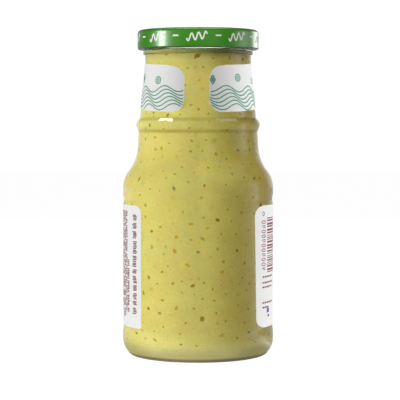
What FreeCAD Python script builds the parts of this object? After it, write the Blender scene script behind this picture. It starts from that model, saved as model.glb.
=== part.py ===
import FreeCAD
import Part
import Sketcher

import math
import os

# A glass jar of smooth green salsa under a twist-off lid, with a paper band
# round its neck and a paper label round its body. Millimetres, +Z up. The
# origin is the middle of the foot, on the surface the jar stands on. Both
# labels end either side of -Y, and their middles face +Y.

SIZES = [
    # glass: the foot and the heel
    ("bearing_inset", 3.55, "heel's radius less the radius of the bearing ring"),
    ("bearing_width", 2.4, "flat ring that the jar stands on, with its rounded edges"),
    ("bearing_round", 2.2, "radius of its outer edge"),
    ("punt_rise", 1.6, "recess under the foot"),
    ("punt_slope", 3.0, "width of the recess's sloping edge"),
    ("heel_swell", 0.35, "how far the heel stands out of the label panel"),
    ("heel_corner", 4.9, "height where the heel's flank meets its side"),
    ("heel_round", 9.4, "radius of the heel"),
    ("heel_height", 11.6, "top of the heel's straight side"),
    # glass: the body and the shoulder
    ("body_radius", 37.45, "label panel"),
    ("swell_blend", 2.8, "height of the step between a swell and the panel"),
    ("swell_round", 8.0, "radius of those steps"),
    ("panel_height", 61.9, "label panel"),
    ("hollow_depth", 0.3, "hollow above the panel"),
    ("hollow_rise", 1.5, "panel's top to the bottom of the hollow"),
    ("hollow_round", 4.0, "radius of the panel's top edge"),
    ("shoulder_swell", 0.15, "how far the shoulder stands out of the panel"),
    ("shoulder_rise", 10.4, "bottom of the hollow to the corner of the shoulder"),
    ("shoulder_round", 12.9, "radius of the shoulder"),
    ("shoulder_drop", 9.5, "corner of the shoulder to the corner of the waist"),
    ("waist_step", 6.85, "body's radius less the radius at the waist's corner"),
    ("waist_round", 21.0, "radius of the hollow between shoulder and waist"),
    ("waist_height", 13.9, "corner of the waist to the grip ring"),
    ("waist_taper", 0.8, "how much the waist narrows over that height"),
    # glass: the grip ring, the neck and the finish
    ("ring_proud", 1.5, "grip ring beyond the waist"),
    ("ring_rise", 4.1, "foot of the ring to its widest line"),
    ("ring_drop", 2.6, "ring's widest line to the foot of the neck"),
    ("ring_round", 2.4, "radius of the ring's crest"),
    ("crease_round", 0.9, "radius of the creases round the ring"),
    ("neck_step", 0.7, "waist's radius less the neck's radius at its foot"),
    ("neck_height", 28.2, "cone of the neck"),
    ("neck_round", 4.0, "radius where the neck's cone turns upright"),
    ("bead_rise", 3.3, "top of the cone to the bead"),
    ("bead_height", 1.7, "bead below the lid"),
    ("bead_proud", 1.0, "bead beyond the neck"),
    ("bead_round", 0.55, "radius of the bead's edges"),
    ("finish_radius", 27.0, "outside of the glass under the lid"),
    ("collar_step", 0.5, "finish's radius less the radius at the top of the neck's cone"),
    ("finish_height", 9.65, "bead's top to the rim"),
    ("rim_round", 0.9, "radius of the rim's edges"),
    # glass: the inside
    ("wall", 2.3, "glass thickness"),
    ("neck_wall", 1.15, "glass thickness at the foot of the neck"),
    ("inside_drop", 0.77, "corners of the outside down to those of the cavity"),
    ("floor_glass", 3.6, "glass over the recess of the foot"),
    ("floor_round", 10.0, "radius round the floor of the cavity"),
    ("finish_wall", 2.8, "glass thickness under the lid"),
    ("headspace", 9.8, "rim down to the salsa"),
    # lid
    ("tinplate", 0.25, "sheet that the lid is drawn from"),
    ("lid_reach", 3.25, "outside of the glass under the lid to the outside of the lid"),
    ("lid_height", 9.7, "lid without its seal"),
    ("lid_round", 1.7, "radius of the lid's top edge"),
    ("curl", 1.9, "width and height of the rolled lower edge"),
    ("curl_round", 0.8, "radius of the roll"),
    ("seat_width", 5.2, "raised seat over the rim"),
    ("panel_drop", 0.9, "seat down to the middle panel"),
    ("step_width", 1.0, "sloping step round the middle panel"),
    ("button_radius", 9.0, "vacuum button"),
    ("button_drop", 0.45, "button below the middle panel"),
    ("press_round", 0.5, "radius of the lid's pressed steps"),
    ("seal_thickness", 0.6, "ring of sealing compound"),
    ("seal_inset", 1.9, "lid's outside to the outside of the compound"),
    ("seal_width", 4.3, "ring of sealing compound"),
    ("lug_clearance", 0.35, "tip of a lug to the glass"),
    ("lug_height", 1.4, "lug"),
    ("lug_angle", 20.0, "degrees round the lid that one lug takes"),
    # labels
    ("paper", 0.12, "thickness of both labels"),
    ("spare", 1.0, "how far a cut runs past what it cuts"),
    ("band_lift", 4.7, "foot of the neck's cone to the neck band, at the sides"),
    ("band_margin", 0.85, "neck band to the top of the neck's cone, at the sides"),
    ("band_view", 30.0, "half the width of the neck band's edges seen from the side"),
    ("band_dip", 2.1, "how far its edges fall from the sides to the ends"),
    ("band_climb", 0.9, "how far its edges rise from the sides to the front"),
    ("band_bow", 600.0, "radius between that fall and that rise"),
    ("band_slip", 0.15, "how far its edges rise across one rounded corner"),
    ("band_left", 6.6, "left end of the neck band from the middle"),
    ("band_right", 5.35, "right end of the neck band from the middle"),
    ("band_lean", 0.0, "how far the right end leans out over its height"),
    ("band_corner", 6.6, "radius of the neck band's corners"),
    ("label_lift", 0.9, "panel left bare below the body label"),
    ("label_margin", 0.8, "panel left bare above it"),
    ("label_left", 27.8, "left end of the body label from the middle"),
    ("label_right", 27.6, "right end of the body label from the middle"),
    ("label_lean", 0.9, "how far the right end leans out over its height"),
    ("label_slip", 0.0, "how far its edges rise across one rounded corner"),
    ("label_corner", 4.9, "radius of the body label's right corners"),
    ("label_small_corner", 3.1, "radius of its upper left corner"),
    ("label_sharp_corner", 1.4, "radius of its lower left corner"),
]

# Heights and radii worked out from the sheet, as the expressions that the
# sketches are bound to.
HEEL = "Sizes.body_radius + Sizes.heel_swell"
BEARING = f"{HEEL} - Sizes.bearing_inset"
PUNT = f"{BEARING} - Sizes.bearing_width"
PANEL_FOOT = "Sizes.heel_height + Sizes.swell_blend"
PANEL_TOP = f"{PANEL_FOOT} + Sizes.panel_height"
HOLLOW = f"{PANEL_TOP} + Sizes.hollow_rise"
SHOULDER = "Sizes.body_radius + Sizes.shoulder_swell"
SHOULDER_TOP = f"{HOLLOW} + Sizes.shoulder_rise"
WAIST = "Sizes.body_radius - Sizes.waist_step"
WAIST_FOOT = f"{SHOULDER_TOP} + Sizes.shoulder_drop"
WAIST_LOW = f"{WAIST} - Sizes.waist_taper"
RING_FOOT = f"{WAIST_FOOT} + Sizes.waist_height"
RING_CREST = f"{RING_FOOT} + Sizes.ring_rise"
NECK = f"{WAIST_LOW} - Sizes.neck_step"
NECK_FOOT = f"{RING_CREST} + Sizes.ring_drop"
NECK_TOP = f"{NECK_FOOT} + Sizes.neck_height"
FINISH = "Sizes.finish_radius"
COLLAR = f"{FINISH} - Sizes.collar_step"
BEAD_FOOT = f"{NECK_TOP} + Sizes.bead_rise"
BEAD_TOP = f"{BEAD_FOOT} + Sizes.bead_height"
RIM = f"{BEAD_TOP} + Sizes.finish_height"
BORE = f"{FINISH} - Sizes.finish_wall"
FLOOR = "Sizes.punt_rise + Sizes.floor_glass"
LEVEL = f"{RIM} - Sizes.headspace"
SEAT = f"{RIM} + Sizes.seal_thickness"
LID = f"{FINISH} + Sizes.lid_reach"
LID_TOP = f"{SEAT} + Sizes.tinplate"
LID_FOOT = f"{LID_TOP} - Sizes.lid_height"
LABEL_FOOT = f"{PANEL_FOOT} + Sizes.label_lift"
LABEL_TOP = f"{PANEL_TOP} - Sizes.label_margin"
BAND_FOOT = f"{NECK_FOOT} + Sizes.band_lift"
BAND_TOP = f"{NECK_TOP} - Sizes.band_margin"
BAND_LOW = f"{BAND_FOOT} - Sizes.band_dip"
BAND_HIGH = f"{BAND_TOP} - Sizes.band_dip"

LUGS = 4
ON_AXIS = "0"

doc = FreeCAD.newDocument("SalsaJar")
sheet = doc.addObject("Spreadsheet::Sheet", "Sizes")
vector = FreeCAD.Vector


def fill_sheet():
    for row, (alias, value, meaning) in enumerate(SIZES, start=1):
        sheet.set(f"A{row}", alias)
        sheet.set(f"B{row}", str(value))
        sheet.set(f"C{row}", meaning)
        sheet.setAlias(f"B{row}", alias)
    doc.recompute()


def new_body(label):
    body = doc.addObject("PartDesign::Body", label)
    body.Label = label
    body.Placement = FreeCAD.Placement()
    return body


def new_sketch(body, name, role):
    """An empty sketch on one of the body's own origin planes."""
    sketch = body.newObject("Sketcher::SketchObject", name)
    plane = next(item for item in body.Origin.OriginFeatures if item.Role == role)
    sketch.AttachmentSupport = (plane, [""])
    sketch.MapMode = "FlatFace"
    return sketch


def place_corners(sketch, corners):
    """Construction points at the corners, tied to the sheet; gives them and their places."""
    blank = [Part.Point(vector(1, 1, 0)) for _ in corners]
    points = list(sketch.addGeometry(blank, True))
    constraints = []
    sizes = []
    for point, (across, up, _) in zip(points, corners):
        for kind, axis, expression in (("DistanceX", -2, across), ("DistanceY", -1, up)):
            if expression == ON_AXIS:
                constraints.append(Sketcher.Constraint("PointOnObject", point, 1, axis))
            else:
                sizes.append((len(constraints), expression))
                constraints.append(Sketcher.Constraint(kind, -1, 1, point, 1, 1.0))
    add_constraints(sketch, constraints, sizes)
    return points, [vector(sketch.Geometry[point].X, sketch.Geometry[point].Y, 0) for point in points]


def add_constraints(sketch, constraints, sizes):
    """Adds constraints and ties those listed in sizes to expressions of the sheet."""
    first = sketch.ConstraintCount
    sketch.addConstraint(constraints)
    for offset, expression in sizes:
        sketch.setExpression(f"Constraints[{first + offset}]", expression)
    doc.recompute()


def radius_now(expression):
    """The present value of a radius: one size of the sheet, or one less another."""
    values = [float(sheet.get(term.replace("Sizes.", ""))) for term in expression.split(" - ")]
    return values[0] - sum(values[1:])


def rounding(before, corner, after, radius):
    """Where the arc that rounds a corner starts and ends, the arc, and if it turns left."""
    inward = (before - corner).normalize()
    outward = (after - corner).normalize()
    half_angle = inward.getAngle(outward) / 2
    reach = radius / math.tan(half_angle)
    start = corner + inward * reach
    finish = corner + outward * reach
    centre = corner + (inward + outward).normalize() * (radius / math.sin(half_angle))
    turns_left = outward.cross(inward).z > 0
    first, last = (start, finish) if turns_left else (finish, start)
    first_angle = math.atan2(first.y - centre.y, first.x - centre.x)
    last_angle = math.atan2(last.y - centre.y, last.x - centre.x)
    circle = Part.Circle(centre, vector(0, 0, 1), radius)
    return start, finish, Part.ArcOfCircle(circle, first_angle, last_angle), turns_left


def draw_outline(sketch, corners):
    """A closed outline through corners (across, up, radius), each rounded by its radius.

    Every side runs through its two corner points and every arc touches both its
    sides, so the outline follows the sheet.
    """
    points, places = place_corners(sketch, corners)
    count = len(corners)
    starts = list(places)
    ends = list(places)
    arcs = {}
    for index, (_, _, radius) in enumerate(corners):
        if radius is not None:
            before = places[index - 1]
            after = places[(index + 1) % count]
            arc = rounding(before, places[index], after, radius_now(radius))
            ends[index], starts[index], shape, turns_left = arc
            arcs[index] = (sketch.addGeometry(shape, False), turns_left, radius)
    lines = [Part.LineSegment(starts[index - 1], ends[index]) for index in range(count)]
    sides = list(sketch.addGeometry(lines, False))
    constraints = []
    sizes = []
    for index, point in enumerate(points):
        side_in = sides[index]
        side_out = sides[(index + 1) % count]
        if index not in arcs:
            constraints.append(Sketcher.Constraint("Coincident", side_in, 2, point, 1))
            constraints.append(Sketcher.Constraint("Coincident", side_out, 1, point, 1))
            continue
        arc, turns_left, radius = arcs[index]
        arc_in, arc_out = (1, 2) if turns_left else (2, 1)
        constraints.append(Sketcher.Constraint("PointOnObject", point, 1, side_in))
        constraints.append(Sketcher.Constraint("PointOnObject", point, 1, side_out))
        constraints.append(Sketcher.Constraint("Tangent", side_in, 2, arc, arc_in))
        constraints.append(Sketcher.Constraint("Tangent", side_out, 1, arc, arc_out))
        sizes.append((len(constraints), radius))
        constraints.append(Sketcher.Constraint("Radius", arc, radius_now(radius)))
    add_constraints(sketch, constraints, sizes)


def revolve(body, sketch, name, kind="PartDesign::Revolution"):
    """Turns the sketch right round the jar's axis."""
    feature = body.newObject(kind, name)
    feature.Profile = (sketch, [""])
    feature.ReferenceAxis = (sketch, ["V_Axis"])
    feature.Angle = 360.0
    sketch.Visibility = False
    doc.recompute()
    return feature


def cut_through(body, sketch, name, both_ways):
    """Cuts the sketch's shape out of the body, both ways or only towards -Y."""
    pocket = body.newObject("PartDesign::Pocket", name)
    pocket.Profile = (sketch, [""])
    pocket.Type = "ThroughAll"
    pocket.Midplane = both_ways
    pocket.Reversed = not both_ways
    sketch.Visibility = False
    doc.recompute()
    return pocket


def cavity_corners(top):
    """The jar's inside from the floor up, filled or empty up to the height given."""
    inside = "Sizes.body_radius - Sizes.wall"
    return [
        (ON_AXIS, FLOOR, None),
        (inside, FLOOR, "Sizes.floor_round"),
        (inside, f"{SHOULDER_TOP} - Sizes.inside_drop", "Sizes.shoulder_round"),
        (f"{WAIST} - Sizes.wall", f"{WAIST_FOOT} - Sizes.inside_drop", "Sizes.waist_round"),
        (f"{NECK} - Sizes.neck_wall", RING_CREST, "Sizes.neck_round"),
        (BORE, f"{NECK_TOP} - Sizes.inside_drop", "Sizes.neck_round"),
        (BORE, top, None),
        (ON_AXIS, top, None),
    ]


def make_glass_jar():
    """Blown outside with heel, panel, shoulder, grip ring, neck and finish, then the cavity."""
    body = new_body("glass_jar")
    outside = new_sketch(body, "GlassOutside", "XZ_Plane")
    draw_outline(outside, [
        (ON_AXIS, "Sizes.punt_rise", None),
        (f"{PUNT} - Sizes.punt_slope", "Sizes.punt_rise", "Sizes.crease_round"),
        (PUNT, ON_AXIS, "Sizes.crease_round"),
        (BEARING, ON_AXIS, "Sizes.bearing_round"),
        (HEEL, "Sizes.heel_corner", "Sizes.heel_round"),
        (HEEL, "Sizes.heel_height", "Sizes.swell_round"),
        ("Sizes.body_radius", PANEL_FOOT, "Sizes.swell_round"),
        ("Sizes.body_radius", PANEL_TOP, "Sizes.hollow_round"),
        ("Sizes.body_radius - Sizes.hollow_depth", HOLLOW, "Sizes.hollow_round"),
        (SHOULDER, f"{HOLLOW} + Sizes.swell_blend", "Sizes.hollow_round"),
        (SHOULDER, SHOULDER_TOP, "Sizes.shoulder_round"),
        (WAIST, WAIST_FOOT, "Sizes.waist_round"),
        (WAIST_LOW, RING_FOOT, "Sizes.crease_round"),
        (f"{WAIST_LOW} + Sizes.ring_proud", RING_CREST, "Sizes.ring_round"),
        (NECK, NECK_FOOT, "Sizes.crease_round"),
        (COLLAR, NECK_TOP, "Sizes.neck_round"),
        (COLLAR, BEAD_FOOT, "Sizes.bead_round"),
        (f"{COLLAR} + Sizes.bead_proud", BEAD_FOOT, "Sizes.bead_round"),
        (f"{COLLAR} + Sizes.bead_proud", BEAD_TOP, "Sizes.bead_round"),
        (FINISH, BEAD_TOP, None),
        (FINISH, RIM, "Sizes.rim_round"),
        (BORE, RIM, "Sizes.rim_round"),
        (BORE, LEVEL, None),
        (ON_AXIS, LEVEL, None),
    ])
    revolve(body, outside, "Blank")
    inside = new_sketch(body, "GlassInside", "XZ_Plane")
    draw_outline(inside, cavity_corners(LEVEL))
    revolve(body, inside, "Cavity", "PartDesign::Groove")
    return body


def make_salsa():
    """Fills the cavity against the glass, up to its own level."""
    body = new_body("salsa")
    outline = new_sketch(body, "SalsaOutline", "XZ_Plane")
    draw_outline(outline, cavity_corners(LEVEL))
    revolve(body, outline, "Fill")
    return body


def make_lid():
    """A drawn tinplate lid: button, middle panel, seat, skirt, rolled edge and lugs."""
    body = new_body("lid")
    sheet_metal = "Sizes.tinplate"
    seat_edge = f"{LID} - Sizes.lid_round - Sizes.seat_width"
    panel_edge = f"{seat_edge} - Sizes.step_width"
    panel = f"{LID_TOP} - Sizes.panel_drop"
    button = f"{panel} - Sizes.button_drop"
    button_edge = "Sizes.button_radius + Sizes.step_width"
    skirt_inside = f"{LID} - {sheet_metal}"
    curl_inside = f"{LID} - Sizes.curl"
    curl_top = f"{LID_FOOT} + Sizes.curl"
    curl_wall = f"{skirt_inside} - {sheet_metal}"
    profile = new_sketch(body, "LidProfile", "XZ_Plane")
    draw_outline(profile, [
        (ON_AXIS, button, None),
        ("Sizes.button_radius", button, "Sizes.press_round"),
        (button_edge, panel, "Sizes.press_round"),
        (panel_edge, panel, "Sizes.press_round"),
        (seat_edge, LID_TOP, "Sizes.press_round"),
        (LID, LID_TOP, "Sizes.lid_round"),
        (LID, LID_FOOT, "Sizes.curl_round"),
        (curl_inside, LID_FOOT, "Sizes.curl_round"),
        (curl_inside, curl_top, "Sizes.curl_round"),
        (curl_wall, curl_top, None),
        (curl_wall, f"{curl_top} - {sheet_metal}", None),
        (f"{curl_inside} + {sheet_metal}", f"{curl_top} - {sheet_metal}", "Sizes.press_round"),
        (f"{curl_inside} + {sheet_metal}", f"{LID_FOOT} + {sheet_metal}", "Sizes.press_round"),
        (skirt_inside, f"{LID_FOOT} + {sheet_metal}", "Sizes.press_round"),
        (skirt_inside, SEAT, "Sizes.lid_round - Sizes.tinplate"),
        (seat_edge, SEAT, "Sizes.press_round"),
        (panel_edge, f"{panel} - {sheet_metal}", "Sizes.press_round"),
        (button_edge, f"{panel} - {sheet_metal}", "Sizes.press_round"),
        ("Sizes.button_radius", f"{button} - {sheet_metal}", "Sizes.press_round"),
        (ON_AXIS, f"{button} - {sheet_metal}", None),
    ])
    revolve(body, profile, "Shell")
    lug_profile = new_sketch(body, "LugProfile", "XZ_Plane")
    lug_foot = f"{LID_FOOT} + Sizes.curl / 2 - Sizes.lug_height / 2"
    lug_tip = f"{FINISH} + Sizes.lug_clearance"
    draw_outline(lug_profile, [
        (f"{curl_inside} + {sheet_metal}", lug_foot, None),
        (f"{curl_inside} + {sheet_metal}", f"{lug_foot} + Sizes.lug_height", None),
        (lug_tip, f"{lug_foot} + Sizes.lug_height", "Sizes.press_round"),
        (lug_tip, lug_foot, "Sizes.press_round"),
    ])
    lug = revolve(body, lug_profile, "Lug")
    lug.Midplane = True
    lug.setExpression("Angle", "Sizes.lug_angle")
    doc.recompute()
    lugs = body.newObject("PartDesign::PolarPattern", "Lugs")
    lugs.Originals = [lug]
    lugs.Axis = (lug_profile, ["V_Axis"])
    lugs.Angle = 360.0
    lugs.Occurrences = LUGS
    body.Tip = lugs
    return body


def make_lid_seal():
    """The ring of compound in the lid's seat, pressed on to the rim."""
    body = new_body("lid_seal")
    outer = f"{LID} - Sizes.seal_inset"
    inner = f"{outer} - Sizes.seal_width"
    section = new_sketch(body, "SealSection", "XZ_Plane")
    draw_outline(section, [
        (inner, RIM, None),
        (outer, RIM, None),
        (outer, SEAT, None),
        (inner, SEAT, None),
    ])
    revolve(body, section, "Ring")
    return body


def neck_radius(height):
    """Radius of the neck's cone at a height, as an expression."""
    return f"({NECK}) + ({COLLAR} - ({NECK})) * ({height} - ({NECK_FOOT})) / Sizes.neck_height"


def cut_gap(body, name, ends, heights, corners, slip):
    """Opens a label behind: its ends upright or leaning, their corners rounded.

    Seen from -Y. The outline runs up one end and out over the label's own edges,
    so that each corner of the label keeps a round of its own.
    """
    left, right, lean = ends
    low, high = heights
    upper_left, lower_left, upper_right, lower_right = corners
    below = f"{low} - Sizes.spare"
    above = f"{high} + {slip} + Sizes.spare"
    outline = new_sketch(body, name, "XZ_Plane")
    draw_outline(outline, [
        (f"{right} + {lean} + {lower_right} + Sizes.spare", below, None),
        (f"{right} + {lean} + {lower_right} + Sizes.spare", f"{low} + {slip}", None),
        (f"{right} + {lean}", low, lower_right),
        (right, high, upper_right),
        (f"{right} + {upper_right} + Sizes.spare", f"{high} + {slip}", None),
        (f"{right} + {upper_right} + Sizes.spare", above, None),
        (f"-({left} + {upper_left} + Sizes.spare)", above, None),
        (f"-({left} + {upper_left} + Sizes.spare)", f"{high} + {slip}", None),
        (f"-({left})", high, upper_left),
        (f"-({left})", low, lower_left),
        (f"-({left} + {lower_left} + Sizes.spare)", f"{low} + {slip}", None),
        (f"-({left} + {lower_left} + Sizes.spare)", below, None),
    ])
    return cut_through(body, outline, f"{name}Cut", False)


def cut_bow(body, name, edge, beyond):
    """Trims one edge of the neck band to a shallow bow, seen from the side."""
    outline = new_sketch(body, name, "YZ_Plane")
    draw_outline(outline, [
        ("-Sizes.band_view", f"{edge} - Sizes.band_dip", None),
        (ON_AXIS, edge, "Sizes.band_bow"),
        ("Sizes.band_view", f"{edge} + Sizes.band_climb", None),
        ("Sizes.band_view", beyond, None),
        ("-Sizes.band_view", beyond, None),
    ])
    return cut_through(body, outline, f"{name}Cut", True)


def make_neck_band():
    """A paper band round the neck's cone: its edges bow and its ends are rounded."""
    body = new_body("neck_band")
    low = f"{BAND_LOW} - Sizes.spare"
    high = f"{BAND_TOP} + Sizes.band_climb"
    section = new_sketch(body, "BandSection", "XZ_Plane")
    draw_outline(section, [
        (neck_radius(low), low, None),
        (f"{neck_radius(low)} + Sizes.paper", low, None),
        (f"{neck_radius(high)} + Sizes.paper", high, None),
        (neck_radius(high), high, None),
    ])
    revolve(body, section, "Band")
    cut_bow(body, "BandTop", BAND_TOP, f"{high} + Sizes.spare")
    cut_bow(body, "BandFoot", BAND_FOOT, f"{low} - Sizes.spare")
    ends = ("Sizes.band_left", "Sizes.band_right", "Sizes.band_lean")
    corner = "Sizes.band_corner"
    cut_gap(body, "BandGap", ends, (BAND_LOW, BAND_HIGH), [corner] * 4, "Sizes.band_slip")
    return body


def make_body_label():
    """A paper label round the panel, open behind, with rounded ends."""
    body = new_body("body_label")
    section = new_sketch(body, "LabelSection", "XZ_Plane")
    draw_outline(section, [
        ("Sizes.body_radius", LABEL_FOOT, None),
        ("Sizes.body_radius + Sizes.paper", LABEL_FOOT, None),
        ("Sizes.body_radius + Sizes.paper", LABEL_TOP, None),
        ("Sizes.body_radius", LABEL_TOP, None),
    ])
    revolve(body, section, "Wrap")
    ends = ("Sizes.label_left", "Sizes.label_right", "Sizes.label_lean")
    corners = [
        "Sizes.label_small_corner",
        "Sizes.label_sharp_corner",
        "Sizes.label_corner",
        "Sizes.label_corner",
    ]
    cut_gap(body, "LabelGap", ends, (LABEL_FOOT, LABEL_TOP), corners, "Sizes.label_slip")
    return body


def check_and_write(bodies):
    """Stops on any failed object or shape, then writes one file for each body."""
    doc.recompute()
    for item in doc.Objects:
        failed = {"Invalid", "Error"} & set(item.State)
        if failed:
            raise SystemExit(f"{item.Name} did not build: {item.State}")
    os.makedirs("parts", exist_ok=True)
    for body in bodies:
        shape = body.Shape
        if shape.isNull() or not shape.isValid() or len(shape.Solids) != 1:
            raise SystemExit(f"{body.Label} is not one valid solid")
        print(f"{body.Label}: {shape.Volume / 1000:.2f} ml, {shape.BoundBox}")
        shape.exportStep(os.path.join("parts", f"{body.Label}.step"))


fill_sheet()
check_and_write([
    make_glass_jar(),
    make_salsa(),
    make_lid(),
    make_lid_seal(),
    make_neck_band(),
    make_body_label(),
])
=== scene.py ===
"""A jar of smooth green salsa under a twist-off lid, with two white labels open at the front.

Metres, +Z up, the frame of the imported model. Angles round the jar are in degrees from -Y, the
side that faces the camera, towards +X. The glass, lid, seal and labels are the model's own
nodes. The salsa's fill, its flecks, the print and the lid's marks are made here.
"""

import math
import random

import bpy
from mathutils import Matrix, Vector
from mathutils.bvhtree import BVHTree


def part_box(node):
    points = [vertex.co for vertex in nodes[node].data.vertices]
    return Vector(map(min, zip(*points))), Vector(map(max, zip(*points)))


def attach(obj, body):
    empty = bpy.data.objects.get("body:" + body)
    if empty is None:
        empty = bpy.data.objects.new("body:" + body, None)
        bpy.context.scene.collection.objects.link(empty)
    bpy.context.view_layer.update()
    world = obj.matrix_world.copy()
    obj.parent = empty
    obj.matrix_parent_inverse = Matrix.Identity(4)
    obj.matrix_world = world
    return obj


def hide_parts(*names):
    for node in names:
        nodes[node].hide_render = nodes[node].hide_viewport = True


MM = 0.001
BODY = "root"

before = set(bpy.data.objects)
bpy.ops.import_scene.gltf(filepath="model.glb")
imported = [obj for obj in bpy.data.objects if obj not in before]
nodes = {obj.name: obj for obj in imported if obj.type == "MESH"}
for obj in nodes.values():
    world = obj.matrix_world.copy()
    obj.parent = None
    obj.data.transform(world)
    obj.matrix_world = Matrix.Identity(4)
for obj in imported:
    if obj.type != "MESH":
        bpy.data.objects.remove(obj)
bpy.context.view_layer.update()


# ---------------------------------------------------------------- materials

class Shader:
    """A small helper that builds one node material."""

    def __init__(self, name):
        self.material = bpy.data.materials.new(name)
        self.material.use_nodes = True
        self.tree = self.material.node_tree
        self.tree.nodes.clear()
        self.output = self.add("ShaderNodeOutputMaterial")
        self.place = self.add("ShaderNodeTexCoord").outputs["Object"]

    def add(self, kind, **settings):
        node = self.tree.nodes.new(kind)
        for key, value in settings.items():
            setattr(node, key, value)
        return node

    def link(self, source, target):
        self.tree.links.new(source, target)

    def noise(self, scale, detail=3.0, stretch=(1, 1, 1)):
        """Noise of so many cells to the metre, squeezed along the axes given."""
        mapping = self.add("ShaderNodeMapping")
        mapping.inputs["Scale"].default_value = stretch
        texture = self.add("ShaderNodeTexNoise")
        texture.inputs["Scale"].default_value = scale
        texture.inputs["Detail"].default_value = detail
        self.link(self.place, mapping.inputs["Vector"])
        self.link(mapping.outputs[0], texture.inputs["Vector"])
        return texture.outputs["Fac"]

    def ramp(self, fac, *stops):
        """Colours at positions along fac."""
        node = self.add("ShaderNodeValToRGB")
        while len(node.color_ramp.elements) < len(stops):
            node.color_ramp.elements.new(0.5)
        for element, (position, colour) in zip(node.color_ramp.elements, stops):
            element.position = position
            element.color = (*colour, 1)
        self.link(fac, node.inputs["Fac"])
        return node.outputs["Color"]

    def mix(self, fac, first, second):
        node = self.add("ShaderNodeMix", data_type="RGBA")
        self.put(fac, node.inputs[0])
        self.put(first, node.inputs[6])
        self.put(second, node.inputs[7])
        return node.outputs[2]

    def put(self, value, socket):
        """Sets or links a socket."""
        if hasattr(value, "is_linked"):
            self.link(value, socket)
        elif isinstance(value, tuple):
            socket.default_value = (*value, 1)[:len(socket.default_value)]
        else:
            socket.default_value = value

    def span(self, fac, low, high):
        """Spreads fac, whose noise stays near its middle, from low to high."""
        node = self.add("ShaderNodeMapRange")
        node.inputs["From Min"].default_value = 0.3
        node.inputs["From Max"].default_value = 0.7
        node.inputs["To Min"].default_value = low
        node.inputs["To Max"].default_value = high
        self.link(fac, node.inputs["Value"])
        return node.outputs["Result"]

    def height_share(self, start, end):
        """0 at one height of the object and 1 at another, and a straight line between."""
        split = self.add("ShaderNodeSeparateXYZ")
        node = self.add("ShaderNodeMapRange")
        node.inputs["From Min"].default_value = start
        node.inputs["From Max"].default_value = end
        self.link(self.place, split.inputs[0])
        self.link(split.outputs["Z"], node.inputs["Value"])
        return node.outputs["Result"]

    def near_height(self, height, reach):
        """1 at a height of the object, fading to 0 at a reach above and below it."""
        rising = self.height_share(height - reach, height)
        falling = self.height_share(height + reach, height)
        node = self.add("ShaderNodeMath", operation="MULTIPLY")
        self.link(rising, node.inputs[0])
        self.link(falling, node.inputs[1])
        return node.outputs[0]

    def bump(self, height, strength, distance):
        node = self.add("ShaderNodeBump")
        node.inputs["Strength"].default_value = strength
        node.inputs["Distance"].default_value = distance
        self.link(height, node.inputs["Height"])
        return node.outputs["Normal"]

    def surface(self, colour, **inputs):
        """A Principled surface; each input's name has its spaces as underscores."""
        shader = self.add("ShaderNodeBsdfPrincipled")
        self.put(colour, shader.inputs["Base Color"])
        for name, value in inputs.items():
            self.put(value, shader.inputs[name.replace("_", " ")])
        self.link(shader.outputs[0], self.output.inputs["Surface"])
        return shader.outputs[0]


# Height, reach and tint of the painted shade at the creases either side of the grip ring: the glass
# is darkened there.
RING_CREASE_SHADE = ((117.8, 1.3, (0.55, 0.56, 0.42)), (111.9, 1.4, (0.46, 0.40, 0.14)))


def clear_glass():
    """Flint glass with a faint mould ripple, and painted shade at its foot and at the grip ring's
    creases; it lets shadow rays straight through.
    """
    s = Shader("clear_glass")
    ripple = s.noise(60, 2, (1, 1, 0.5))
    tint_and_painted_shade = s.ramp(ripple, (0.3, (0.955, 0.975, 0.955)), (0.7, (0.975, 0.985, 0.97)))
    # Painted shade: the glass is tinted dark in a band at its foot, darker towards the bottom.
    foot = s.height_share(2.3 * MM, 1.5 * MM)
    tint_and_painted_shade = s.mix(foot, tint_and_painted_shade, (0.20, 0.19, 0.32))
    # Painted shade: the glass's tint is darkened at each crease of the grip ring.
    for height, reach, shade in RING_CREASE_SHADE:
        tint_and_painted_shade = s.mix(s.near_height(height * MM, reach * MM), tint_and_painted_shade, shade)
    glass = s.surface(
        tint_and_painted_shade,
        Roughness=0.0,
        IOR=1.5,
        Transmission_Weight=1.0,
        Normal=s.bump(ripple, 0.05, 0.4 * MM),
    )
    clear = s.add("ShaderNodeBsdfTransparent")
    clear.inputs["Color"].default_value = (0.94, 0.95, 0.93, 1)
    light_path = s.add("ShaderNodeLightPath")
    either = s.add("ShaderNodeMixShader")
    s.link(light_path.outputs["Is Shadow Ray"], either.inputs[0])
    s.link(glass, either.inputs[1])
    s.link(clear.outputs[0], either.inputs[2])
    s.link(either.outputs[0], s.output.inputs["Surface"])
    return s.material


def puree_colour(s):
    """The salsa's own colour: pale and yellow, with olive drifts, streaks and fine grain."""
    drift = s.noise(80, 5, (1, 1, 1.6))
    grain = s.noise(900, 5)
    body = s.ramp(drift, (0.30, (0.650, 0.585, 0.180)), (0.70, (0.730, 0.675, 0.235)))
    fine = s.ramp(grain, (0.36, (0.590, 0.515, 0.139)), (0.66, (0.760, 0.711, 0.277)))
    return s.mix(0.3, body, fine)


def salsa_puree():
    s = Shader("green_salsa")
    s.surface(
        puree_colour(s),
        Roughness=0.7,
        Specular_IOR_Level=0.05,
        Subsurface_Weight=1.0,
        Subsurface_Radius=(1.0, 0.62, 0.18),
        Subsurface_Scale=0.0015,
    )
    return s.material


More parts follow.
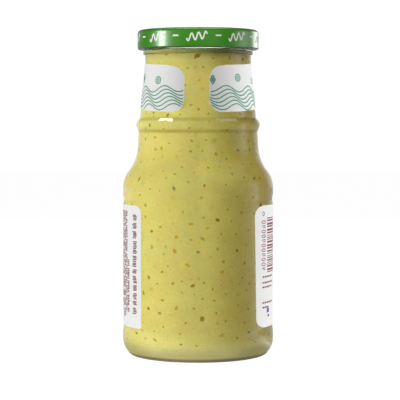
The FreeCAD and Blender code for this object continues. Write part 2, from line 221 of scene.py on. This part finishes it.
def fleck_material(name, dark, light):
    """A fleck's colour, fading into the salsa by the strength that its mesh carries."""
    s = Shader(name)
    own = s.ramp(s.noise(450, 3), (0.35, dark), (0.65, light))
    strength = s.add("ShaderNodeAttribute", attribute_name="strength").outputs["Fac"]
    solid = s.surface(own, Roughness=0.6, Specular_IOR_Level=0.1)
    clear = s.add("ShaderNodeBsdfTransparent")
    fading = s.add("ShaderNodeMixShader")
    s.link(strength, fading.inputs[0])
    s.link(clear.outputs[0], fading.inputs[1])
    s.link(solid, fading.inputs[2])
    s.link(fading.outputs[0], s.output.inputs["Surface"])
    return s.material


def label_stock():
    """White film-faced paper: a faint tone and a fine fibre."""
    s = Shader("white_label")
    tone = s.ramp(s.noise(90, 3), (0.35, (0.875, 0.875, 0.87)), (0.65, (0.90, 0.90, 0.89)))
    s.surface(
        tone,
        Roughness=s.span(s.noise(500, 3), 0.38, 0.5),
        Specular_IOR_Level=0.4,
        Normal=s.bump(s.noise(1800, 2), 0.1, 0.05 * MM),
    )
    return s.material


def ink(name, deep, thin):
    """Printing ink, a little uneven in strength."""
    s = Shader(name)
    s.surface(
        s.ramp(s.noise(1200, 4), (0.35, deep), (0.7, thin)),
        Roughness=s.span(s.noise(700, 2), 0.4, 0.55),
    )
    return s.material


def lid_enamel():
    """Gloss green enamel over tinplate, with a slight orange peel."""
    s = Shader("green_enamel")
    tone = s.ramp(s.noise(70, 3), (0.35, (0.042, 0.262, 0.005)), (0.65, (0.054, 0.300, 0.008)))
    # Painted shade: the enamel is darkened where the rolled edge turns under, where little light
    # comes.
    split = s.add("ShaderNodeSeparateXYZ")
    s.link(s.add("ShaderNodeTexCoord").outputs["Normal"], split.inputs[0])
    underside_shade = s.add("ShaderNodeMapRange")
    underside_shade.inputs["From Min"].default_value = 0.0
    underside_shade.inputs["From Max"].default_value = -0.6
    s.link(split.outputs["Z"], underside_shade.inputs["Value"])
    s.surface(
        s.mix(underside_shade.outputs["Result"], tone, (0.010, 0.060, 0.004)),
        Roughness=s.span(s.noise(240, 2), 0.28, 0.34),
        Coat_Weight=0.3,
        Coat_Roughness=0.2,
        Normal=s.bump(s.noise(420, 2), 0.1, 0.08 * MM),
    )
    return s.material


def seal_compound():
    s = Shader("seal_compound")
    tone = s.ramp(s.noise(160, 3), (0.35, (0.60, 0.58, 0.52)), (0.65, (0.68, 0.66, 0.60)))
    s.surface(tone, Roughness=s.span(s.noise(300, 2), 0.5, 0.65))
    return s.material


# ---------------------------------------------------------------- meshes

def new_piece(name, vertices, faces, material, smooth=True):
    """A mesh piece that rides on the jar."""
    mesh = bpy.data.meshes.new(name)
    mesh.from_pydata(vertices, [], faces)
    mesh.validate()
    mesh.polygons.foreach_set("use_smooth", [smooth] * len(mesh.polygons))
    mesh.materials.append(material)
    piece = bpy.data.objects.new(name, mesh)
    bpy.context.scene.collection.objects.link(piece)
    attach(piece, BODY)
    return piece


def around(angle, radius, height):
    """The point at an angle from -Y towards +X, a radius and a height."""
    turn = math.radians(angle)
    return Vector((radius * math.sin(turn), -radius * math.cos(turn), height))


class Wrap:
    """A surface round the jar that print lies on: a cylinder or a cone.

    Print is drawn in metres along the surface from its middle line (angle) and up from the
    foot of the jar, and lies a hair above the surface.
    """

    LIFT = 0.02 * MM
    INK = 0.02 * MM

    def __init__(self, angle, low, low_radius, high, high_radius):
        self.angle = angle
        self.low = low
        self.low_radius = low_radius
        self.slope = (high_radius - low_radius) / (high - low)
        self.mean_radius = (low_radius + high_radius) / 2

    def point(self, along, height, layer):
        radius = self.low_radius + self.slope * (height - self.low)
        angle = self.angle + math.degrees(along / self.mean_radius)
        return around(angle, radius + self.LIFT + layer * self.INK, height)


class Print:
    """Collects thin closed shapes on a wrap, and makes one piece of them."""

    def __init__(self, wrap):
        self.wrap = wrap
        self.vertices = []
        self.faces = []

    def stroke(self, path, width):
        """A line of ink along a path of (along, height) points, with square ends."""
        first = len(self.vertices)
        for index, (x, z) in enumerate(path):
            before = path[max(index - 1, 0)]
            after = path[min(index + 1, len(path) - 1)]
            dx, dz = after[0] - before[0], after[1] - before[1]
            length = math.hypot(dx, dz)
            nx, nz = -dz / length * width / 2, dx / length * width / 2
            for side, layer in ((1, 0), (-1, 0), (-1, 1), (1, 1)):
                self.vertices.append(self.wrap.point(x + nx * side, z + nz * side, layer))
        for index in range(len(path) - 1):
            a = first + 4 * index
            for corner in range(4):
                following = (corner + 1) % 4
                self.faces.append((a + corner, a + following, a + 4 + following, a + 4 + corner))
        last = first + 4 * (len(path) - 1)
        self.faces.append((first + 3, first + 2, first + 1, first))
        self.faces.append((last, last + 1, last + 2, last + 3))

    def bar(self, x, z, width, height):
        """An upright rectangle of ink centred on (x, z), bent round the surface in short steps."""
        steps = max(1, math.ceil(width / (1.5 * MM)))
        path = [(x - width / 2 + width * step / steps, z) for step in range(steps + 1)]
        self.stroke(path, height)

    def ring(self, x, z, radius, width, turns=28):
        """A round outline; it closes on itself."""
        first = len(self.vertices)
        for step in range(turns):
            angle = 2 * math.pi * step / turns
            for reach, layer in (
                (radius + width / 2, 0), (radius - width / 2, 0),
                (radius - width / 2, 1), (radius + width / 2, 1),
            ):
                across = x + reach * math.cos(angle)
                up = z + reach * math.sin(angle)
                self.vertices.append(self.wrap.point(across, up, layer))
        for step in range(turns):
            a = first + 4 * step
            b = first + 4 * ((step + 1) % turns)
            for corner in range(4):
                following = (corner + 1) % 4
                self.faces.append((a + corner, a + following, b + following, b + corner))

    def piece(self, name, material, slot):
        return new_piece(name, self.vertices, self.faces, material, smooth=False)


# ---------------------------------------------------------------- salsa

def grown_fill():
    """The salsa's node let a little way into the glass, so no air shows between them."""
    reach = 0.35 * MM
    mesh = nodes["salsa"].data
    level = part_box("salsa")[1].z
    number_of = {}
    order = []
    for vertex in mesh.vertices:
        key = tuple(round(value, 6) for value in vertex.co)
        if key not in number_of:
            number_of[key] = len(order)
            order.append(vertex.co.copy())
    index_of = [
        number_of[tuple(round(value, 6) for value in vertex.co)] for vertex in mesh.vertices
    ]
    faces = []
    normals = [Vector() for _ in order]
    for polygon in mesh.polygons:
        corners = [index_of[index] for index in polygon.vertices]
        if len(set(corners)) < 3:
            continue
        faces.append(corners)
        if polygon.normal.z < 0.99:
            for corner in corners:
                normals[corner] += polygon.normal * polygon.area
    grown = []
    for place, normal in zip(order, normals):
        moved = place + normal.normalized() * reach if normal.length else place.copy()
        moved.z = min(moved.z, level)
        grown.append(moved)
    return grown, faces


def make_salsa():
    vertices, faces = grown_fill()
    fill = new_piece("salsa_fill", vertices, faces, salsa_puree())
    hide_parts("salsa")
    return fill, BVHTree.FromPolygons(vertices, faces)


def make_flecks(tree, taken, name, material, count, seed, sizes, stretch, strengths):
    """Irregular flat flecks pressed against the glass, each a low dome with a soft rim.

    Each takes the roomiest of a few places, so that flecks don't crowd together.
    """
    chance = random.Random(seed)
    low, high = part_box("salsa")
    margin = 3 * MM
    corners = 9
    vertices = []
    faces = []
    strength = []
    for _ in range(count):
        best_room = -1.0
        for _ in range(5):
            height = chance.uniform(low.z + margin, high.z - margin / 3)
            towards = around(chance.uniform(-180, 180), 1, 0)
            spot, facing, _, _ = tree.ray_cast(Vector((0, 0, height)), towards)
            room = min(((spot - other).length for other in taken), default=1.0)
            if room > best_room:
                best_room, place, normal = room, spot, facing
        taken.append(place)
        small, large, power = sizes
        radius = (small + (large - small) * chance.random() ** power) / 2 * MM
        long = chance.uniform(1, stretch)
        spin = chance.uniform(0, math.pi)
        sideways = Vector((0, 0, 1)).cross(normal).normalized()
        upward = normal.cross(sideways)
        across = sideways * math.cos(spin) + upward * math.sin(spin)
        along = normal.cross(across)
        amount = chance.uniform(*strengths)
        first = len(vertices)
        wobble = [chance.uniform(0.72, 1.2) for _ in range(corners)]
        for reach, lift, share in ((1.25, -0.05, 0.0), (0.8, 0.03, 0.75), (0.4, 0.06, 1.0)):
            for corner in range(corners):
                turn = 2 * math.pi * corner / corners
                spread = radius * reach * wobble[corner]
                offset = across * math.cos(turn) * spread * long + along * math.sin(turn) * spread
                vertices.append(place + offset + normal * lift * MM)
                strength.append(amount * share)
        vertices.append(place + normal * 0.07 * MM)
        strength.append(amount)
        for ring in range(2):
            for corner in range(corners):
                following = (corner + 1) % corners
                a = first + ring * corners
                b = a + corners
                faces.append((a + corner, a + following, b + following, b + corner))
        top = first + 3 * corners
        for corner in range(corners):
            inner = first + 2 * corners
            faces.append((inner + corner, inner + (corner + 1) % corners, top))
        faces.append(tuple(first + corner for corner in reversed(range(corners))))
    piece = new_piece(name, vertices, faces, material)
    piece.data.attributes.new("strength", "FLOAT", "POINT")
    piece.data.attributes["strength"].data.foreach_set("value", strength)
    return piece


def make_all_flecks(tree):
    dark = fleck_material("fleck_dark", (0.210, 0.135, 0.001), (0.320, 0.220, 0.003))
    olive = fleck_material("fleck_olive", (0.500, 0.340, 0.003), (0.640, 0.450, 0.008))
    green = fleck_material("fleck_green", (0.300, 0.340, 0.003), (0.430, 0.460, 0.008))
    chile = fleck_material("fleck_chile", (0.460, 0.215, 0.004), (0.600, 0.320, 0.010))
    seed = fleck_material("fleck_seed", (0.72, 0.66, 0.36), (0.85, 0.80, 0.52))
    taken = []
    kinds = (
        ("flecks_olive_large", dark, 64, 12, (1.3, 2.5, 1.7), 1.7, (0.55, 0.95)),
        ("flecks_olive_small", olive, 260, 11, (0.9, 1.7, 1.4), 1.8, (0.45, 0.9)),
        ("flecks_green", green, 110, 13, (0.9, 1.7, 1.4), 1.8, (0.45, 0.9)),
        ("flecks_chile", chile, 60, 14, (0.9, 1.7, 1.4), 1.6, (0.45, 0.9)),
        ("flecks_faint", olive, 260, 16, (0.9, 2.4, 1.3), 1.5, (0.1, 0.3)),
        ("seeds_pale", seed, 60, 15, (0.6, 1.3, 1.5), 1.4, (0.3, 0.8)),
    )
    return [make_flecks(tree, taken, *kind) for kind in kinds]


# ---------------------------------------------------------------- print

INK_SLOT = "white_label"
LOZENGE = (
    (0, 1), (0.5, 0.5), (1, 0), (0.5, -0.5), (0, -1), (-0.5, -0.5), (-1, 0), (-0.5, 0.5), (0, 1),
)
BAND_WAVES_ROUND = 11
BAND_LINE = 0.5 * MM
# Where each line of mock print runs: degrees round the jar, then its top, foot and letter size
# in mm above the label's lower edge.
LABEL_LINES = (
    (-55.8, 55.5, 2.6, 3.6), (-66.0, 33.0, 4.0, 2.4), (-69.8, 57.0, 4.0, 2.2),
    (-73.6, 57.0, 4.0, 2.2), (-77.4, 57.0, 4.0, 2.2), (-81.2, 57.0, 4.0, 2.2),
    (-85.0, 57.0, 4.0, 2.2),
)
MOCK_STROKE = 0.52 * MM
# The striped block: its start in degrees, its top and foot in mm, and the column of ovals and
# bars that stands before it.
BLOCK_START = 64.9
BLOCK_TOP = 54.0
BLOCK_FOOT = 27.0
BLOCK_WIDTH = 18 * MM
DIGIT_COLUMN = 3.8 * MM
DIGIT_LINE = 0.4 * MM
# Heights above the label's lower edge and widths, in mm, of the short lines under the block.
SHORT_LINES = ((25.0, 7.5), (22.1, 9.0), (19.9, 6.0), (12.2, 8.0), (9.9, 0.8))


def wave(start, end, middle, swing, length, steps_each=12, phase=0.0):
    """Points of a sine wave from start to end."""
    steps = max(2, math.ceil(abs(end - start) / length * steps_each))
    points = []
    for step in range(steps + 1):
        x = start + (end - start) * step / steps
        points.append((x, middle + swing * math.sin(2 * math.pi * (x / length + phase))))
    return points


def make_lid_marks():
    """White marks round the lid's skirt: short waves, with a dash between each two."""
    low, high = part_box("lid")
    middle = low.z + 5.3 * MM
    marks = Print(Wrap(0, low.z, high.x, high.z, high.x))
    repeats = 9
    pitch = 2 * math.pi * high.x / repeats
    for index in range(repeats):
        centre = (index - 4) * pitch - 0.5 * MM
        half = 5.0 * MM
        path = [
            (centre + x, z + 0.12 * x) for x, z in wave(-half, half, middle, 1.75 * MM, 3.4 * MM)
        ]
        marks.stroke(path, 0.75 * MM)
        marks.bar(centre + pitch / 2, middle + 0.4 * MM, 2.9 * MM, 0.75 * MM)
    white = ink("white_ink", (0.85, 0.86, 0.84), (0.9, 0.9, 0.88))
    return marks.piece("lid_marks", white, INK_SLOT)


def mesh_tree(node):
    return BVHTree.FromPolygons(
        [vertex.co for vertex in node.data.vertices],
        [polygon.vertices for polygon in node.data.polygons],
    )


def radius_at(tree, angle, height):
    """The inner radius of a label at an angle and height, or None where it has been cut away."""
    place, _, _, _ = tree.ray_cast(Vector((0, 0, height)), around(angle, 1, 0))
    return place.xy.length if place else None


def label_wrap(node):
    """The cone or cylinder that a label's outside lies on."""
    tree = mesh_tree(node)
    paper = 0.12 * MM  # a label's thickness
    low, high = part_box(node.name)
    quarter = (high.z - low.z) / 4
    heights = (low.z + quarter, high.z - quarter)
    radii = [radius_at(tree, 180, height) + paper for height in heights]
    return Wrap(0, heights[0], radii[0], heights[1], radii[1]), tree


def stay_on(wrap, tree, path, margin=0.25 * MM):
    """The stretches of a path that lie on the label, a margin inside its edges."""
    runs = []
    run = []
    for x, z in path:
        beside = [
            radius_at(tree, math.degrees((x + dx) / wrap.mean_radius), z + dz)
            for dx, dz in ((-margin, 0), (margin, 0), (0, -margin), (0, margin))
        ]
        if None in beside:
            if len(run) > 1:
                runs.append(run)
            run = []
        else:
            run.append((x, z))
    if len(run) > 1:
        runs.append(run)
    return runs


def make_band_art():
    """Green line work on the neck band: nested waves below, rings and lozenges above."""
    wrap, tree = label_wrap(nodes["neck_band"])
    art = Print(wrap)
    half_turn = math.pi * wrap.mean_radius
    low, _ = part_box("neck_band")
    for row in range(6):
        path = wave(
            -half_turn, half_turn, low.z + (2.6 + 1.75 * row) * MM, 1.5 * MM,
            2 * half_turn / BAND_WAVES_ROUND, steps_each=40, phase=0.07 * row,
        )
        for run in stay_on(wrap, tree, path):
            art.stroke(run, BAND_LINE)
    repeats = 12
    pitch = 2 * half_turn / repeats
    for index in range(repeats):
        x = (index - repeats / 2 + 0.5) * pitch
        z = low.z + (15.6 + 1.2 * (index % 2)) * MM
        if index % 3 == 0:
            shapes = [[(x + 1.3 * MM * sx, z + 2.3 * MM * sz) for sx, sz in LOZENGE]]
            shapes.append([(x + 0.5 * MM * sx, z + 0.9 * MM * sz) for sx, sz in LOZENGE])
        else:
            radii = (1.7 * MM, 0.7 * MM) if index % 3 == 1 else (1.3 * MM,)
            shapes = [circle(x, z, radius) for radius in radii]
        for shape in shapes:
            if stay_on(wrap, tree, shape) == [shape]:
                art.stroke(shape, BAND_LINE)
    green = ink("green_ink", (0.004, 0.25, 0.105), (0.010, 0.33, 0.15))
    return art.piece("band_art", green, INK_SLOT)


def circle(x, z, radius, turns=20):
    """Points round a circle, the last on the first."""
    angles = [2 * math.pi * step / turns for step in range(turns + 1)]
    return [(x + radius * math.cos(angle), z + radius * math.sin(angle)) for angle in angles]


def mock_line(art, chance, x, top, foot, letter):
    """A line of marks that stands for small print read from the side: words of short bars."""
    z = top
    while z > foot + 4 * MM:
        for _ in range(chance.randint(3, 8)):
            sway = chance.uniform(-0.12, 0.12) * letter
            art.bar(x + sway, z, letter * chance.uniform(0.75, 1.0), MOCK_STROKE)
            z -= chance.uniform(0.66, 0.9) * MM
        z -= chance.uniform(0.7, 1.2) * MM


def make_label_print():
    """Maroon mock print at both ends of the body label, with a striped block and a blue mark."""
    wrap, _ = label_wrap(nodes["body_label"])
    low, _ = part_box("body_label")
    chance = random.Random(21)
    maroon = Print(wrap)
    blue = Print(wrap)
    for degrees, top, foot, letter in LABEL_LINES:
        x = math.radians(degrees) * wrap.mean_radius
        mock_line(maroon, chance, x, low.z + top * MM, low.z + foot * MM, letter * MM)
    block = math.radians(BLOCK_START) * wrap.mean_radius
    z = low.z + BLOCK_TOP * MM
    while z > low.z + BLOCK_FOOT * MM:
        thick = chance.choice((0.35, 0.5, 0.75, 1.0)) * MM
        maroon.bar(block + BLOCK_WIDTH / 2, z - thick / 2, BLOCK_WIDTH, thick)
        z -= thick + chance.choice((0.4, 0.55, 0.8)) * MM
    for index in range(11):
        z = low.z + (BLOCK_TOP - 2.0 - 2.3 * index) * MM
        if index % 3 == 1:
            maroon.bar(block - DIGIT_COLUMN, z + 0.45 * MM, 3.6 * MM, DIGIT_LINE)
            maroon.bar(block - 3.2 * MM, z - 0.45 * MM, 2.4 * MM, DIGIT_LINE)
        else:
            oval = [(x, z + rise / 3) for x, rise in circle(block - DIGIT_COLUMN, 0, 1.9 * MM)]
            maroon.stroke(oval, DIGIT_LINE)
    maroon.ring(block - 4.1 * MM, low.z + (BLOCK_TOP + 2.1) * MM, 0.9 * MM, DIGIT_LINE)
    for rise, width in SHORT_LINES:
        x = block - 5.0 * MM
        while x < block + width * MM:
            word = chance.uniform(1.2, 2.8) * MM
            maroon.bar(x + word / 2, low.z + rise * MM, word, 0.8 * MM)
            x += word + 0.6 * MM
    blue.bar(block + 1.2 * MM, low.z + 8.2 * MM, 2.8 * MM, 2.3 * MM)
    maroon.bar(block + 1.8 * MM, low.z + 5.6 * MM, 2.0 * MM, 1.1 * MM)
    maroon_ink = ink("maroon_ink", (0.16, 0.02, 0.03), (0.24, 0.045, 0.05))
    label_print = maroon.piece("label_print", maroon_ink, INK_SLOT)
    blue_ink = ink("blue_ink", (0.02, 0.08, 0.40), (0.04, 0.13, 0.50))
    label_mark = blue.piece("label_mark", blue_ink, INK_SLOT)
    return [label_print, label_mark]


def turned(name, profile, material, turns=120):
    """A closed ring made by turning a closed profile of (radius, height) points round the axis."""
    count = len(profile)
    vertices = []
    faces = []
    for step in range(turns):
        vertices += [around(360 * step / turns, radius, height) for radius, height in profile]
        a = step * count
        b = (step + 1) % turns * count
        for corner in range(count):
            following = (corner + 1) % count
            faces.append((a + corner, b + corner, b + following, a + following))
    return new_piece(name, vertices, faces, material, smooth=False)


def lining_enamel():
    """The white lacquer inside the lid."""
    s = Shader("white_lacquer")
    s.surface(
        s.ramp(s.noise(120, 2), (0.35, (0.78, 0.79, 0.74)), (0.65, (0.86, 0.86, 0.82))),
        Roughness=s.span(s.noise(300, 2), 0.3, 0.4),
    )
    return s.material


def make_lid_lining():
    """The lacquered inside of the lid's skirt, from the roll up to the seal."""
    low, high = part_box("lid")
    inside = high.x - 0.29 * MM
    outside = inside + 0.02 * MM
    foot = low.z + 2.3 * MM
    top = high.z - 1.9 * MM
    return turned(
        "lid_lining",
        [(inside, foot), (outside, foot), (outside, top), (inside, top)],
        lining_enamel(),
    )


# ---------------------------------------------------------------- studio

# Strengths: what the camera sees of floor and world, what reflections and refractions see (the
# cards), and what rough surfaces are lit by (the fill).
FLOOR_SEEN = 0.98
WORLD_SEEN = 1.05
CARDS = 1.75
FILL = 2.0
WORLD_FILL = 0.03
# The cards fade upwards to this share of their strength, between two heights of the sky.
CARDS_HIGH = 0.25
FADE_FROM = 0.15
FADE_TO = 0.35
# Distances from the jar's axis: the painted shadow under the foot ends, then the floor near the
# foot.
DARK_END = 27 * MM
OPEN_START = 33 * MM
NEAR_END = 60 * MM
# Painted shadow: what reflections and refractions see of the floor under the foot.
PAINTED_SHADOW_UNDER_FOOT = (0.01, 0.01, 0.008)
NEAR_CARDS = (0.17, 0.16, 0.13)
# Each row below: degrees round the jar from the front, and the share of strength there.
FLOOR_SECTORS = (
    (-180, 0.31), (-125, 0.29), (-95, 0.06), (-60, 0.02), (50, 0.02), (58, 0.03), (64, 0.13),
    (76, 0.33), (85, 0.6), (98, 1.0), (110, 0.3), (135, 0.31), (180, 0.31),
)
FLOOR_FILL = ((-180, 0.12), (-160, 0.28), (-20, 0.28), (0, 0.0), (150, 0.0), (180, 0.12))
FOOT_FILL = (
    (-180, 0.12), (-160, 0.6), (-64, 0.6), (-52, 0.88), (-20, 0.98), (-8, 0.95), (0, 0.85),
    (32, 0.74), (48, 0.45), (142, 0.38), (180, 0.12),
)
WORLD_SECTORS = (
    (-180, 0.5), (-155, 0.3), (-115, 0.035), (-60, 0.025), (50, 0.02), (58, 0.03), (64, 0.13),
    (76, 0.33), (85, 0.6), (98, 1.0), (104, 0.7), (110, 0.22), (128, 0.2), (145, 0.5),
    (180, 0.5),
)


def sector_ramp(tree, direction, stops):
    """Strength by the angle round the jar, from -180 to 180 degrees, of a direction or a place."""
    split = tree.nodes.new("ShaderNodeSeparateXYZ")
    tree.links.new(direction, split.inputs[0])
    flip = tree.nodes.new("ShaderNodeMath")
    flip.operation = "MULTIPLY"
    flip.inputs[1].default_value = -1
    tree.links.new(split.outputs["Y"], flip.inputs[0])
    angle = tree.nodes.new("ShaderNodeMath")
    angle.operation = "ARCTAN2"
    tree.links.new(split.outputs["X"], angle.inputs[0])
    tree.links.new(flip.outputs[0], angle.inputs[1])
    share = tree.nodes.new("ShaderNodeMapRange")
    share.inputs["From Min"].default_value = -math.pi
    share.inputs["From Max"].default_value = math.pi
    tree.links.new(angle.outputs[0], share.inputs["Value"])
    ramp = tree.nodes.new("ShaderNodeValToRGB")
    while len(ramp.color_ramp.elements) < len(stops):
        ramp.color_ramp.elements.new(0.5)
    for element, (degrees, strength) in zip(ramp.color_ramp.elements, stops):
        element.position = (degrees + 180) / 360
        element.color = (strength, strength, strength, 1)
    tree.links.new(share.outputs["Result"], ramp.inputs["Fac"])
    return ramp.outputs["Color"], split.outputs["Z"]


def ray_switch(tree, seen, in_gloss, on_food):
    """Picks a shader by ray: seen by the camera, met after a rough bounce, or anything else.

    Light sampled straight from a rough surface has made no rough bounce yet, so it is of the
    last sort, and the cards light the salsa a little.
    """
    light_path = tree.nodes.new("ShaderNodeLightPath")
    lit = tree.nodes.new("ShaderNodeMath")
    lit.operation = "GREATER_THAN"
    lit.inputs[1].default_value = 0.5
    tree.links.new(light_path.outputs["Diffuse Depth"], lit.inputs[0])
    unseen = tree.nodes.new("ShaderNodeMixShader")
    tree.links.new(lit.outputs[0], unseen.inputs[0])
    tree.links.new(in_gloss, unseen.inputs[1])
    tree.links.new(on_food, unseen.inputs[2])
    either = tree.nodes.new("ShaderNodeMixShader")
    tree.links.new(light_path.outputs["Is Camera Ray"], either.inputs[0])
    tree.links.new(unseen.outputs[0], either.inputs[1])
    tree.links.new(seen, either.inputs[2])
    return either.outputs[0]


def glow(tree, kind, strength, colour=None):
    """An Emission or Background shader of a strength, of a colour from nodes or white."""
    node = tree.nodes.new(kind)
    node.inputs["Strength"].default_value = strength
    if colour is None:
        node.inputs["Color"].default_value = (1, 1, 1, 1)
    else:
        tree.links.new(colour, node.inputs["Color"])
    return node.outputs[0]


def studio_floor():
    """A white floor: bright to the eye, and as the studio's cards light it in reflections."""
    s = Shader("studio_floor")
    pale = s.surface(
        s.ramp(s.noise(3, 2), (0.35, (0.14, 0.14, 0.14)), (0.65, (0.16, 0.16, 0.16))),
        Roughness=0.9,
        Specular_IOR_Level=0.0,
    )
    cards, _ = sector_ramp(s.tree, s.place, FLOOR_SECTORS)
    fill, _ = sector_ramp(s.tree, s.place, FLOOR_FILL)
    foot_fill, _ = sector_ramp(s.tree, s.place, FOOT_FILL)
    distance = s.add("ShaderNodeVectorMath", operation="LENGTH")
    s.link(s.place, distance.inputs[0])
    open_floor = s.add("ShaderNodeMapRange", interpolation_type="SMOOTHSTEP")
    open_floor.inputs["From Min"].default_value = DARK_END
    open_floor.inputs["From Max"].default_value = OPEN_START
    s.link(distance.outputs["Value"], open_floor.inputs["Value"])
    near = s.add("ShaderNodeMapRange", interpolation_type="SMOOTHSTEP")
    near.inputs["From Min"].default_value = OPEN_START
    near.inputs["From Max"].default_value = NEAR_END
    near.inputs["To Min"].default_value = 1.0
    near.inputs["To Max"].default_value = 0.0
    s.link(distance.outputs["Value"], near.inputs["Value"])
    fill = s.mix(near.outputs["Result"], fill, foot_fill)
    cards = s.mix(near.outputs["Result"], cards, NEAR_CARDS)
    # Painted shadow under the foot, in the glow that reflections and refractions see.
    cards = s.mix(open_floor.outputs["Result"], PAINTED_SHADOW_UNDER_FOOT, cards)
    emission = ray_switch(
        s.tree,
        glow(s.tree, "ShaderNodeEmission", FLOOR_SEEN),
        glow(s.tree, "ShaderNodeEmission", CARDS, cards),
        glow(s.tree, "ShaderNodeEmission", FILL, fill),
    )
    both = s.add("ShaderNodeAddShader")
    s.link(pale, both.inputs[0])
    s.link(emission, both.inputs[1])
    s.link(both.outputs[0], s.output.inputs["Surface"])
    return s.material


def make_floor():
    half = 3.0  # metres from the axis to the floor's edge
    corners = [(-half, -half, 0), (half, -half, 0), (half, half, 0), (-half, half, 0)]
    mesh = bpy.data.meshes.new("floor")
    mesh.from_pydata(corners, [], [(0, 1, 2, 3)])
    mesh.materials.append(studio_floor())
    floor = bpy.data.objects.new("floor", mesh)
    bpy.context.scene.collection.objects.link(floor)


def soft_light(
    name, angle, distance, height, size, power, seen_in_gloss, target=(0, 0, 0.08), along=None
):
    """A panel at an angle round the jar, facing the target, its first side level or along.

    Either it shows in gloss alone, or it lights rough surfaces and shows through glass.
    """
    light = bpy.data.lights.new(name, "AREA")
    light.shape = "RECTANGLE"
    light.size, light.size_y = size
    light.energy = power
    holder = bpy.data.objects.new(name, light)
    holder.location = around(angle, distance, height)
    facing = (holder.location - Vector(target)).normalized()
    side = Vector(along) if along else Vector((0, 0, 1)).cross(facing)
    side = (side - facing * side.dot(facing)).normalized()
    holder.rotation_euler = Matrix((side, facing.cross(side), facing)).transposed().to_euler()
    holder.visible_glossy = seen_in_gloss
    holder.visible_diffuse = not seen_in_gloss
    holder.visible_camera = False
    holder.visible_transmission = not seen_in_gloss
    bpy.context.scene.collection.objects.link(holder)
    return holder


def light_only(light, pieces):
    """Lets a light reach only the pieces given."""
    group = bpy.data.collections.new("lit_by_" + light.name)
    for piece in pieces:
        group.objects.link(piece)
    light.light_linking.receiver_collection = group


def make_lights(food, paper, lid, lining):
    """Places the lamps. Most light one group of pieces alone; the rest light everything."""
    panel = (0.7, 0.5)
    amber = (1.0, 0.78, 0.25)
    soft_light("key", -60, 0.9, 0.12, panel, 6.5, False)
    soft_light("back_fill", 180, 0.9, 0.5, panel, 3.0, False)
    light_only(soft_light("food_key", -42, 0.8, 0.62, panel, 7.4, False), food)
    food_front = soft_light("food_front", 8, 0.8, 0.62, panel, 2.5, False)
    food_front.data.color = (1.0, 0.86, 0.45)
    light_only(food_front, food)
    food_right = soft_light("food_right", 100, 0.8, 0.62, panel, 0.15, False)
    food_right.data.color = amber
    light_only(food_right, food)
    food_rim = soft_light("food_rim", 115, 0.9, 0.12, (0.5, 0.5), 3.9, False)
    food_rim.data.color = amber
    light_only(food_rim, food)
    light_only(soft_light("paper_key", -70, 0.9, 0.12, panel, 1.8, False), paper)
    light_only(soft_light("paper_rim", 85, 0.9, 0.12, (0.5, 0.5), 11.0, False), paper)
    light_only(soft_light("lid_fill", 24, 0.9, 0.16, panel, 4.8, False), lid)
    light_only(soft_light("lid_left", -71, 0.9, 0.22, (0.22, 0.20), 4.6, True), lid)
    light_only(soft_light("lid_mid", 92, 0.9, 0.22, (0.50, 0.3), 0.4, True), lid)
    light_only(soft_light("lid_right", 138, 0.9, 0.22, (0.36, 0.3), 1.6, True), lid)
    light_only(soft_light("lid_top", 0, 0.05, 1.1, (0.9, 0.9), 9.0, True), lid)
    skirt = (0, 0, 0.155)
    light_only(soft_light("under_lid", 0, 0.9, 0.10, (0.5, 0.1), 60.0, False, skirt), [lining])
    ring = (0, 0, 0.117)
    soft_light("ring_glint", -104, 0.50, 0.875, (0.34, 0.02), 0.45, True, ring, (-0.38, 0.83, -0.39))
    soft_light("ring_line", 100, 0.454, 0.884, (0.46, 0.07), 0.2, True, ring, (0.25, 0.41, -0.19))


def make_world():
    """The studio round the jar: white to the eye, and cards in reflections."""
    world = bpy.data.worlds.new("studio")
    bpy.context.scene.world = world
    world.use_nodes = True
    tree = world.node_tree
    tree.nodes.clear()
    output = tree.nodes.new("ShaderNodeOutputWorld")
    direction = tree.nodes.new("ShaderNodeTexCoord").outputs["Generated"]
    colour, height = sector_ramp(tree, direction, WORLD_SECTORS)
    fade = tree.nodes.new("ShaderNodeMapRange")
    fade.inputs["From Min"].default_value = FADE_FROM
    fade.inputs["From Max"].default_value = FADE_TO
    fade.inputs["To Min"].default_value = CARDS
    fade.inputs["To Max"].default_value = CARDS_HIGH * CARDS
    tree.links.new(height, fade.inputs["Value"])
    room = tree.nodes.new("ShaderNodeBackground")
    tree.links.new(colour, room.inputs["Color"])
    tree.links.new(fade.outputs["Result"], room.inputs["Strength"])
    shown = ray_switch(
        tree,
        glow(tree, "ShaderNodeBackground", WORLD_SEEN),
        room.outputs[0],
        glow(tree, "ShaderNodeBackground", WORLD_FILL),
    )
    tree.links.new(shown, output.inputs["Surface"])


def make_camera():
    """Level with the neck, looking slightly down, the jar a little left of the middle."""
    camera = bpy.data.cameras.new("camera")
    camera.sensor_width = 36
    camera.lens = 137.7
    camera.clip_end = 20  # metres
    holder = bpy.data.objects.new("camera", camera)
    holder.location = (0.95 * MM, -768 * MM, 115.3 * MM)
    downward = 2.84  # degrees
    holder.rotation_euler = (math.radians(90 - downward), 0, 0)
    bpy.context.scene.collection.objects.link(holder)
    bpy.context.scene.camera = holder


def finish_node(name, material):
    """Gives a node of the model its finish."""
    slots = nodes[name].material_slots
    for index in range(len(slots)):
        slots[index].material = material


bpy.context.scene.view_settings.view_transform = "Standard"
make_camera()
make_floor()
finish_node("glass_jar", clear_glass())
finish_node("lid", lid_enamel())
finish_node("lid_seal", seal_compound())
stock = label_stock()
labels = [nodes["neck_band"], nodes["body_label"]]
for label in labels:
    finish_node(label.name, stock)
    label.visible_shadow = False
fill, salsa_tree = make_salsa()
flecks = make_all_flecks(salsa_tree)
lid_marks = make_lid_marks()
make_lights(
    [fill, *flecks],
    [*labels, make_band_art(), *make_label_print()],
    [nodes["lid"], lid_marks],
    make_lid_lining(),
)
make_world()
